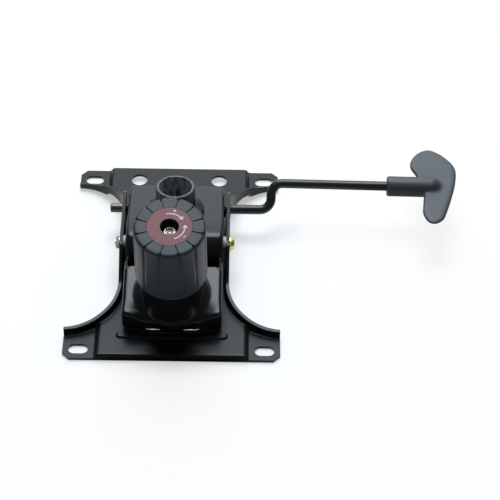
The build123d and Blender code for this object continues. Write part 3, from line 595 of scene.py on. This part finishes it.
def on_tension_axis(radius, angle, height):
    """Points at a radius, angle and height about the leaning tension axis, in the part's frame."""
    across, along = radius * np.cos(angle), radius * np.sin(angle)
    return SWING_CENTRE + np.stack([across, along * cos(TENSION_LEAN) - height * sin(TENSION_LEAN),
                                    along * sin(TENSION_LEAN) + height * cos(TENSION_LEAN)], -1)


def about_tension_axis(place):
    """The radius, angle and height of points about the leaning tension axis."""
    x, y, z = (place - SWING_CENTRE).T
    along = y * cos(TENSION_LEAN) + z * sin(TENSION_LEAN)
    return np.hypot(x, along), np.arctan2(along, x), z * cos(TENSION_LEAN) - y * sin(TENSION_LEAN)


def ramp(value, start, end):
    """0 at start, 1 at end, and a smooth step between them."""
    t = np.clip((value - start) / (end - start), 0, 1)
    return t * t * (3 - 2 * t)


# %% Tub forms
def with_crisp_edges(place):
    """Tightens the front deck's round side edges: a point's vector from the bend's centre line is
    scaled by its length over its length in the fourth-power norm, which squares the round."""
    x, y, z = place.T
    height = about_tension_axis(place)[2]
    reach = np.stack([np.abs(x) - SIDE_X + CORNER_BEND, FRONT_Y + CORNER_BEND - y,
                      height - BOSS_FOOT_HEIGHT + CORNER_BEND])
    reach = np.clip(reach, 0, None)
    squared = (reach ** CORNER_POWER).sum(0) ** (1 / CORNER_POWER)
    gain = np.hypot(np.hypot(*reach[:2]), reach[2]) / np.clip(squared, 0.01, None) - 1
    share = gain * ramp(np.abs(x), *CRISP_ACROSS) * ramp(-y, *CRISP_ALONG)
    share = share * ramp(height - BOSS_FOOT_HEIGHT, *CRISP_ABOVE)
    return place + np.stack([np.sign(x) * reach[0], -reach[1], reach[2]], -1) * share[:, None]


def with_flare(place):
    """Reshapes the cone. In the solid its flank is an arc about a ring CONE_ARC_OUT from the socket's
    axis and CONE_ARC_UP above the cone's foot. Here its height becomes
    CONE_HEIGHT x ((FLARE_RADIUS - radius) / (FLARE_RADIUS - CONE_RADIUS)) ^ FLARE_POWER."""
    x, y, z = (place - SOCKET_MOUTH).T
    across = y * cos(SOCKET_LEAN) - z * sin(SOCKET_LEAN)
    up = y * sin(SOCKET_LEAN) + z * cos(SOCKET_LEAN) + MOUTH_HEIGHT
    radius = np.clip(np.hypot(x, across), CONE_RADIUS, CONE_FOOT)
    arc = np.clip(CONE_ARC_RADIUS ** 2 - (radius - CONE_ARC_OUT) ** 2, 0, None) ** 0.5
    share = np.clip((FLARE_RADIUS - radius) / (FLARE_RADIUS - CONE_RADIUS), 0, 1)
    rise = (CONE_HEIGHT * share ** FLARE_POWER - CONE_ARC_UP + arc) * ramp(up, *FLARE_FADE)
    return place + np.outer(rise, (0, sin(SOCKET_LEAN), cos(SOCKET_LEAN)))


def with_droop(place):
    """Lets the rear deck sag towards its front edge by DROOP x t^2, with t from 0 to 1 on the way."""
    x, y, z = place.T
    t = np.clip((DROOP_START_Y - y) / (DROOP_START_Y - DOME_FRONT_Y), 0, 1)
    sag = DROOP * t ** 2 * ramp(z, *DROOP_HEIGHTS) * ramp(y, *DROOP_END)
    return place - np.outer(sag, (0, 0, 1))


def with_hollow(place):
    """Rolls the L between deck and boss into a quarter of an ellipse. A point at a distance d from
    the boss lies at s = width - d along the L, and one at a height h up the boss at s = width + h.
    It moves to the ellipse's angle s / (width + height) x 90 degrees, less so below the deck.
    Points deeper inside the boss than HOLLOW_SKIN stay where they are."""
    radius, angle, height = about_tension_axis(place)
    off, up = radius - BOSS_RADIUS, height - BOSS_FOOT_HEIGHT
    on_boss = up > np.maximum(off, 0)
    s = HOLLOW_WIDTH + np.where(on_boss, up, -off)
    theta = pi / 2 * np.clip(s / (HOLLOW_WIDTH + HOLLOW_HEIGHT), 0, 1)
    share = (off > -HOLLOW_SKIN) * (s > 0) * (s < HOLLOW_WIDTH + HOLLOW_HEIGHT)
    share = share * np.clip(1 + up / FADE_DEPTH, 0, 1) * ramp(place[:, 1], HOLLOW_END_Y, BOSS_FOOT_Y)
    outward = HOLLOW_WIDTH * (1 - np.sin(theta)) - np.where(on_boss, 0, off)
    upward = HOLLOW_HEIGHT * (1 - np.cos(theta)) - np.where(on_boss, up, 0)
    return on_tension_axis(radius + share * outward, angle, height + share * upward)


def with_bow(place):
    """Pushes the front wall out by bow(x) = BOW x the share of the run from the corner, less what
    the boss's foot already stands out of the wall, and sinks the deck's front edge by SINK x the
    same share; nothing at the rim and behind the boss."""
    x, y, z = place.T
    run = np.clip((SIDE_X - np.abs(x)) / BOW_RUN, 0, 1)
    foot = np.sqrt(np.clip(FOOT_RADIUS ** 2 - x ** 2, 0, None)) - (BOSS_FOOT_Y - FRONT_Y)
    push = np.clip(BOW * run - np.clip(foot, 0, None), 0, None)
    share = ramp(-y, *BOW_ALONG) * ramp(z, *BOW_ABOVE) * ramp(z, *BOW_BELOW)
    return place - np.stack([0 * x, push * share, SINK * run * share * ramp(-y, *SINK_ALONG)], -1)


def rear_corner_weight(place):
    """Highest at the tub's two rear corners and 0 away from them, so that only they grow round."""
    x, y, z = place.T * 1000
    off = np.hypot(np.abs(x) - SIDE_X, y - REAR_Y)
    return ROUND_WEIGHT * ramp(off, *ROUND_REACH) * ramp(z, *ROUND_HEIGHTS)


# %% Tub
tub_mesh = nodes["control_housing"].data.copy()
tub_mesh.name = "tub"
tub = bpy.data.objects.new("tub", tub_mesh)
bpy.context.scene.collection.objects.link(tub)
tub_skin = voxel_skin(tub, TUB_VOXEL)
plain = np.empty(len(tub_skin.vertices) * 3)
tub_skin.vertices.foreach_get("co", plain)
plain = plain.reshape(-1, 3) * 1000
formed = plain
for with_form in (with_crisp_edges, with_flare, with_droop, with_hollow, with_bow):
    formed = with_form(formed)
tub_skin.vertices.foreach_set("co", formed.ravel() / 1000)
relax(tub_skin, evenly, VOXEL_PASSES)
relax(tub_skin, rear_corner_weight, ROUND_PASSES)
dress_skin(tub_skin, housing_enamel)
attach(tub, "control_housing")
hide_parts("control_housing")
print("tub: %d faces, moved by up to %.1f mm" % (
    len(tub_skin.polygons), np.linalg.norm(formed - plain, axis=1).max()))

# %% [markdown]
# ## The spring
#
# The spring stands in the tub's boss and carries the knob. When the seat tilts the tub rises towards
# the knob by 12 mm. Here the coil is a copy of the solid's mesh, attached to the tub.

# %% Spring
spring = bpy.data.objects.new("spring_coil", nodes["tension_spring"].data.copy())
bpy.context.scene.collection.objects.link(spring)
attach(spring, "control_housing")
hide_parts("tension_spring")
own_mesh(spring)
print("spring: %d faces" % len(spring.data.polygons))

# %% [markdown]
# ## The tension knob
#
# The knob is a moulded cup with twelve grooves, so that wet or oily fingers can turn it. Across the
# top each groove is a fine slit that stops at the label, and down the side it is a shallow valley
# with a narrow bottom, which ends in a small pit above the rim. The whole wall, inside and out, is
# one closed profile of radius and height. The grooves are a depth that depends on a point's height
# and on how far round the knob it is from the nearest groove. Cutting twelve slots out of a turned
# body would need twelve Boolean steps and would leave hard edges where the mould has soft ones.

# %% Knob sizes
KNOB_LOW, KNOB_HIGH = 58.8, 118.8
KNOB_LOW_RADIUS, KNOB_HIGH_RADIUS = 28.6, 27.8
LABEL_RADIUS, LABEL_RECESS, KNOB_HOLE = 17.4, 0.2, 7.15
MOUTH_RADIUS, BORE_RADIUS, CEILING = 25.9, 24.9, 115.8
HUB_RADIUS, HUB_LOW, NUT_RADIUS, NUT_TOP = 13.0, 99.8, 10.3, 107.95
GROOVES, FIRST_GROOVE = 12, radians(16.5)
SLIT_HALF, SLIT_DEPTH = 0.42, 1.2
SLIT_FLANK, SLIT_LABEL_GAP, RIM_DEPTH = 0.18, 0.4, 1.9
VALLEY_HALF, VALLEY_TOP_DEPTH, VALLEY_FOOT_DEPTH = 2.0, 1.75, 0.3
GROOVE_FOOT, GROOVE_FADE, PIT_RADIUS, PIT_DEPTH = 66.9, 1.2, 1.0, 1.1
LONGEST_STEP, FINE_STEP, FINE_BELOW, FINE_ABOVE = 1.6, 0.2, 1.6, 2.0
FINE_HALF, FINE_COLUMNS, COARSE_COLUMNS, COARSE_POWER = 0.9, 9, 11, 1.25
INNER_TOP, INNER_RADIUS, OUTER_LEAST = 116.5, 23.0, 27.0


def rounded_profile(corners, steps=5):
    """A closed outline of (radius, height, rounding): each corner becomes an arc of a parabola
    between the two points that lie its rounding away along the sides."""
    points = []
    befores, afters = corners[-1:] + corners[:-1], corners[1:] + corners[:1]
    for before, (r, h, bend), after in zip(befores, corners, afters):
        corner = np.array([r, h])
        if bend == 0:
            points.append(corner[None])
            continue
        ends = []
        for other in (before, after):
            way = np.array(other[:2]) - corner
            ends.append(corner + way / np.hypot(*way) * bend)
        t = np.linspace(0, 1, steps)[:, None]
        points.append((1 - t) ** 2 * ends[0] + 2 * t * (1 - t) * corner + t ** 2 * ends[1])
    return np.vstack(points)


def with_rows_between(profile, longest, fine_band, fine):
    """The outline with its long sides divided, so that no step is longer than longest, or than fine
    on the outer wall between the two heights of the fine band."""
    pieces = []
    for a, b in zip(profile, np.roll(profile, -1, 0)):
        r, h = (a + b) / 2
        step = fine if r > KNOB_HIGH_RADIUS and fine_band[0] < h < fine_band[1] else longest
        count = int(np.ceil(np.hypot(*(b - a)) / step))
        pieces.append(a + (b - a) * (np.arange(count) / count)[:, None])
    return np.vstack(pieces)


# %% Knob surface
def knob_surface():
    """Radius = profile radius - valley - pit, height = profile height - slit, where each depth falls
    off with the distance round the knob from the nearest of the twelve groove lines."""
    def wall(height):
        share = (height - KNOB_LOW) / (KNOB_HIGH - KNOB_LOW)
        return (KNOB_LOW_RADIUS + share * (KNOB_HIGH_RADIUS - KNOB_LOW_RADIUS), height, 0)

    band = (GROOVE_FOOT - FINE_BELOW, GROOVE_FOOT + FINE_ABOVE)
    recess = KNOB_HIGH - LABEL_RECESS
    outline = [(MOUTH_RADIUS, KNOB_LOW, 0.4), (KNOB_LOW_RADIUS, KNOB_LOW, 0.7),
               wall(band[0]), wall(band[1]), (KNOB_HIGH_RADIUS, KNOB_HIGH, 2.3),
               (LABEL_RADIUS + 0.15, KNOB_HIGH, 0.12), (LABEL_RADIUS + 0.05, recess, 0.05),
               (KNOB_HOLE, recess, 0.35), (KNOB_HOLE, NUT_TOP, 0), (NUT_RADIUS, NUT_TOP, 0),
               (NUT_RADIUS, HUB_LOW, 0), (HUB_RADIUS, HUB_LOW, 0.4), (HUB_RADIUS, CEILING, 0.6),
               (BORE_RADIUS, CEILING, 1.0)]
    profile = with_rows_between(rounded_profile(outline), LONGEST_STEP, band, FINE_STEP)
    radius, height = profile[:, :1], profile[:, 1:]
    lobe = pi / GROOVES
    coarse = np.linspace(0.06, 1, COARSE_COLUMNS) ** COARSE_POWER
    near = np.concatenate([np.linspace(0, FINE_HALF, FINE_COLUMNS),
                           FINE_HALF + (lobe * KNOB_LOW_RADIUS - FINE_HALF) * coarse]) / KNOB_LOW_RADIUS
    half_lobe = near[near < lobe * 0.999]
    offsets = np.concatenate([-half_lobe[:0:-1], half_lobe, [lobe]])
    centres = FIRST_GROOVE + 2 * lobe * np.arange(GROOVES)
    angle = (centres[:, None] + offsets[None, :]).reshape(1, -1)
    away = np.abs(np.tile(offsets, GROOVES))[None, :] * KNOB_HIGH_RADIUS
    inner_wall = (height < INNER_TOP) & (radius < OUTER_LEAST)
    outside = (radius > INNER_RADIUS) & (height > KNOB_LOW + 1) & ~inner_wall
    foot = np.clip((height - GROOVE_FOOT) / GROOVE_FADE, 0, 1)
    high = ((height - KNOB_LOW) / (KNOB_HIGH - KNOB_LOW)) ** 2
    depth = VALLEY_FOOT_DEPTH + (VALLEY_TOP_DEPTH - VALLEY_FOOT_DEPTH) * high
    valley = depth * foot * (0.5 + 0.5 * np.cos(pi * np.clip(away / VALLEY_HALF, 0, 1)))
    pit = PIT_DEPTH * np.clip(1 - (np.hypot(away, height - GROOVE_FOOT) / PIT_RADIUS) ** 2, 0, 1) ** 0.5
    inward = outside * np.maximum(valley, pit)
    top = (height > KNOB_HIGH - RIM_DEPTH) & (radius > LABEL_RADIUS + SLIT_LABEL_GAP)
    slit = SLIT_DEPTH * np.clip((SLIT_HALF + SLIT_FLANK - away) / SLIT_FLANK, 0, 1)
    return on_tension_axis(radius - inward, angle, height - top * slit)


knob = skin("knob_shell", knob_surface(), wrap_rows=True, sharp=40)
knob.data.materials.append(knob_plastic)
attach(knob, "tension_knob")
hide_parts("tension_knob")

# %% [markdown]
# ## The bolt's end
#
# Deep in the knob's hole the tension bolt's end shows a bright ring and a low cone with a dot in the
# middle. It is a turned form: radii and heights along the tension axis, spun round it.

# %% Bolt end
TIP_PROFILE = np.array([(4.6, 109.6), (4.6, 111.4), (4.35, 111.7), (3.6, 111.7), (3.35, 111.4),
                        (3.2, 110.2), (2.9, 110.0), (0.9, 110.9), (0.5, 110.95)])
around = np.linspace(0, 2 * pi, 64, endpoint=False)[None, :]
bolt_tip = skin("bolt_tip", on_tension_axis(TIP_PROFILE[:, :1], around, TIP_PROFILE[:, 1:] + 0 * around),
                cap_ends=True, sharp=35)
bolt_tip.data.materials.append(bolt_brass)
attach(bolt_tip, "tension_bolt")

# %% [markdown]
# ## The label
#
# A ring of dusty crimson film lies in the knob's top, with white marks that show which way is
# firmer. Two curved arrows with a plus and a minus say that without words. Printed marks have no
# height, so they are colour and not geometry: the mesh carries each point's place on the label in
# millimetres as two attributes, and the material draws the arrows from distances to arcs and lines.

# %% Label ring
LABEL_ROWS, LABEL_COLUMNS, LABEL_THICK, LABEL_SINK = 26, 192, 0.3, 0.18


def label_surface():
    """A flat ring: rows run from the outer edge in over the top, then back underneath."""
    radii = np.linspace(LABEL_RADIUS - 0.02, KNOB_HOLE + 0.15, LABEL_ROWS)
    radius = np.concatenate([radii, radii[::-1]])[:, None]
    low = KNOB_HIGH - LABEL_SINK
    height = np.repeat([low + LABEL_THICK, low], LABEL_ROWS)[:, None]
    angle = np.linspace(0, 2 * pi, LABEL_COLUMNS, endpoint=False)[None, :]
    angle = np.broadcast_to(angle, (2 * LABEL_ROWS, LABEL_COLUMNS))
    flat = np.stack([radius * np.cos(angle), radius * np.sin(angle)], -1)
    return on_tension_axis(radius, angle, height), flat


label_points, label_flat = label_surface()
label = skin("knob_label_film", label_points, wrap_rows=True, sharp=40)
for name, values in zip(("label_across", "label_along"), np.moveaxis(label_flat, -1, 0)):
    attribute = label.data.attributes.new(name, "FLOAT", "POINT")
    attribute.data.foreach_set("value", values.astype(np.float32).ravel())


# %% Label finish
ARROW_RING, ARROW_HALF, BARB, BARB_SPREAD = 11.9, 0.42, 2.6, radians(145)
SIGN_RING, SIGN_LENGTH, SIGN_HALF, INK_EDGE = 14.9, 1.1, 0.3, 0.12


def label_finish():
    """Crimson film with white arc arrows: an arc is where the radius is near ARROW_RING between two
    angles, and a head is the narrow strip round each of two straight lines from the arc's tip."""
    made = Finish("label_red", Roughness=0.42)
    made.shader.inputs["Specular IOR Level"].default_value = 0.2
    x = made.node("ShaderNodeAttribute", {"attribute_name": "label_across"}, output="Fac")
    y = made.node("ShaderNodeAttribute", {"attribute_name": "label_along"}, output="Fac")
    radius = (x * x + y * y) ** 0.5
    angle = made.sum_of("ARCTAN2", y, x)

    def bar(start, end, half):
        """1 within half a width of the straight line between two points of the label."""
        (ax, ay), (bx, by) = start, end
        length = hypot(bx - ax, by - ay)
        ux, uy = (bx - ax) / length, (by - ay) / length
        along = (x - ax) * ux + (y - ay) * uy
        off = abs((x - ax) * uy - (y - ay) * ux)
        return off.fall(half - INK_EDGE, half + INK_EDGE) * abs(along - length / 2).fall(
            length / 2, length / 2 + 0.2)

    def arrow(first, last):
        """An arc from one angle to another, with two barbs at its end."""
        low, high = radians(min(first, last)), radians(max(first, last))
        arc = abs(radius - ARROW_RING).fall(ARROW_HALF - INK_EDGE, ARROW_HALF + INK_EDGE)
        arc = arc * angle.rise(low - 0.01, low + 0.01) * angle.fall(high - 0.01, high + 0.01)
        tip_angle = radians(last)
        tip = (ARROW_RING * cos(tip_angle), ARROW_RING * sin(tip_angle))
        onward = tip_angle + (pi / 2 if last > first else -pi / 2)
        marks = arc
        for spread in (BARB_SPREAD, -BARB_SPREAD):
            end = (tip[0] + BARB * cos(onward + spread), tip[1] + BARB * sin(onward + spread))
            marks = marks.higher(bar(tip, end, ARROW_HALF))
        return marks

    def sign(turn, upright):
        """A minus, or with upright a plus, set square to the radius at an angle."""
        centre = np.array([cos(radians(turn)), sin(radians(turn))]) * SIGN_RING
        side = np.array([-sin(radians(turn)), cos(radians(turn))]) * SIGN_LENGTH
        out = np.array([side[1], -side[0]])
        marks = bar(centre - side, centre + side, SIGN_HALF)
        return marks.higher(bar(centre - out, centre + out, SIGN_HALF)) if upright else marks

    ink = arrow(104, 35).higher(arrow(-70, 5)).higher(sign(76, True)).higher(sign(-38, False))
    wear, dust = made.noise(1.1, 3, 0.6), made.noise(3.5, 4, 0.6)
    film = made.blend(dust, (0.150, 0.040, 0.052), (0.215, 0.082, 0.098))
    made.set("Base Color", made.blend(ink * (0.93 - 0.25 * wear), film, (0.72, 0.68, 0.74)))
    made.set("Roughness", 0.40 + 0.14 * dust)
    made.dent(dust, 0.015, 0.5)
    return made.material


label.data.materials.append(label_finish())
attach(label, "tension_knob")
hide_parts("knob_label")

# %% [markdown]
# ## The grip
#
# The grip is one moulding: a round sleeve that swells out of a flat, two-winged blade. Both forms
# lie about one plane. Each is meshed from its own formula, and a fine voxel remesh joins them. All
# of it is relaxed a little, and then only the seam between them much more, so that it becomes a
# soft fillet while the rims keep their shape. As much everywhere would thin the blade.

# %% Grip sizes
GRIP_PLANE_Z, BLADE_HALF_THICK = 42.0, 2.2
SLEEVE_START, SLEEVE_END = np.array([179.0, 54.41, 42.18]), np.array([225.0, 53.85, 41.98])
SLEEVE_LENGTH = np.linalg.norm(SLEEVE_END - SLEEVE_START)
SLEEVE_WAY = (SLEEVE_END - SLEEVE_START) / SLEEVE_LENGTH
SLEEVE_RADIUS, SLEEVE_BEND = 8.6, 1.1
RIM_POWER, RIM_START, GRIP_VOXEL = 9, 0.06, 0.7
SEAM_FROM_X, SEAM_REACH, SEAM_WEIGHT, SEAM_PASSES = 200.0, 3.2, 0.6, 40
BLADE_CENTRE = np.array([220.0, 56.2])
BLADE_OUTLINE = np.array([
    (217, 101.4), (225, 98.2), (233, 90.2), (238.4, 81.2), (239.8, 71.2), (237.5, 55.2), (233, 38.2),
    (228.6, 24.2), (224.6, 14.2), (218, 9.2), (211.5, 11.2), (207.8, 21.2), (209, 35.2), (209.6, 46.2),
    (206, 59.2), (204.5, 68.7), (200.6, 78.2), (201.8, 87.2), (208, 96.7)])


def closed_curve(points, count):
    """A smooth closed curve through the points: between two of them it is the cubic whose slopes
    are half the step from the neighbour before to the neighbour after (Catmull-Rom)."""
    t = np.linspace(0, len(points), count, endpoint=False)
    k, u = t.astype(int), (t % 1)[:, None]
    p0, p1, p2, p3 = (points[(k + step) % len(points)] for step in (-1, 0, 1, 2))
    return 0.5 * (2 * p1 + (p2 - p0) * u + (2 * p0 - 5 * p1 + 4 * p2 - p3) * u ** 2
                  + (3 * p1 - p0 - 3 * p2 + p3) * u ** 3)


# %% Blade and sleeve
def blade_surface(rings=24):
    """Rings of the outline drawn in by a share s towards the centre. The height over the middle
    plane is half the thickness x (1 - s^9)^(1/2): flat in the middle, round at the rim."""
    turn = np.linspace(RIM_START, pi - RIM_START, 2 * rings + 1)
    share, side = np.sin(turn)[:, None, None], np.where(turn < pi / 2, 1.0, -1.0)[:, None]
    flat = BLADE_CENTRE + (closed_curve(BLADE_OUTLINE, 240) - BLADE_CENTRE)[None] * share
    rounding = (1 - np.clip(share[..., 0], 0, 1) ** RIM_POWER) ** 0.5
    height = GRIP_PLANE_Z + side * BLADE_HALF_THICK * rounding
    return np.concatenate([flat, np.broadcast_to(height[..., None], (*flat.shape[:2], 1))], -1)


def sleeve_surface(sides=64):
    """A turned form along the sleeve's axis: a rounded open end, a straight run and a domed nose."""
    straight = SLEEVE_LENGTH - SLEEVE_RADIUS
    bend, nose = np.linspace(0, pi / 2, 5), np.linspace(0, pi / 2 - 0.05, 12)
    along = np.concatenate([SLEEVE_BEND * (1 - np.cos(bend)), np.linspace(6, straight - 1, 6),
                            straight + SLEEVE_RADIUS * np.sin(nose)])
    radius = np.concatenate([SLEEVE_RADIUS - SLEEVE_BEND + SLEEVE_BEND * np.sin(bend),
                             np.full(6, SLEEVE_RADIUS), SLEEVE_RADIUS * np.cos(nose)])
    turn = np.linspace(0, 2 * pi, sides, endpoint=False)
    across = np.cross(SLEEVE_WAY, (0, 0, 1.0))
    upward = np.cross(across, SLEEVE_WAY)
    return (SLEEVE_START + along[:, None, None] * SLEEVE_WAY
            + radius[:, None, None] * (np.cos(turn)[:, None] * across + np.sin(turn)[:, None] * upward))


def seam_weight(place):
    """SEAM_WEIGHT where both the sleeve's surface and the blade's faces are close, 0 elsewhere."""
    from_start = place * 1000 - SLEEVE_START
    along = np.clip(from_start @ SLEEVE_WAY, 0, SLEEVE_LENGTH - SLEEVE_RADIUS)
    off_axis = np.linalg.norm(from_start - along[:, None] * SLEEVE_WAY, axis=1)
    off_sleeve = np.abs(off_axis - SLEEVE_RADIUS)
    off_blade = np.abs(np.abs(place[:, 2] * 1000 - GRIP_PLANE_Z) - BLADE_HALF_THICK)
    behind = place[:, 0] * 1000 > SEAM_FROM_X
    return SEAM_WEIGHT * behind * np.clip(1.3 - np.maximum(off_sleeve, off_blade) / SEAM_REACH, 0, 1)


# %% Grip
blade = skin("grip_blade", blade_surface(), cap_ends=True)
sleeve = skin("grip_sleeve", sleeve_surface(), cap_ends=True)
with bpy.context.temp_override(active_object=blade, object=blade,
                               selected_editable_objects=[blade, sleeve]):
    bpy.ops.object.join()
blade.name = "grip"
grip_skin = voxel_skin(blade, GRIP_VOXEL)
relax(grip_skin, evenly, VOXEL_PASSES)
relax(grip_skin, seam_weight, SEAM_PASSES)
dress_skin(grip_skin, grip_plastic)
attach(blade, "lever")
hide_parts("lever_handle")
print("grip: %d faces" % len(grip_skin.polygons))
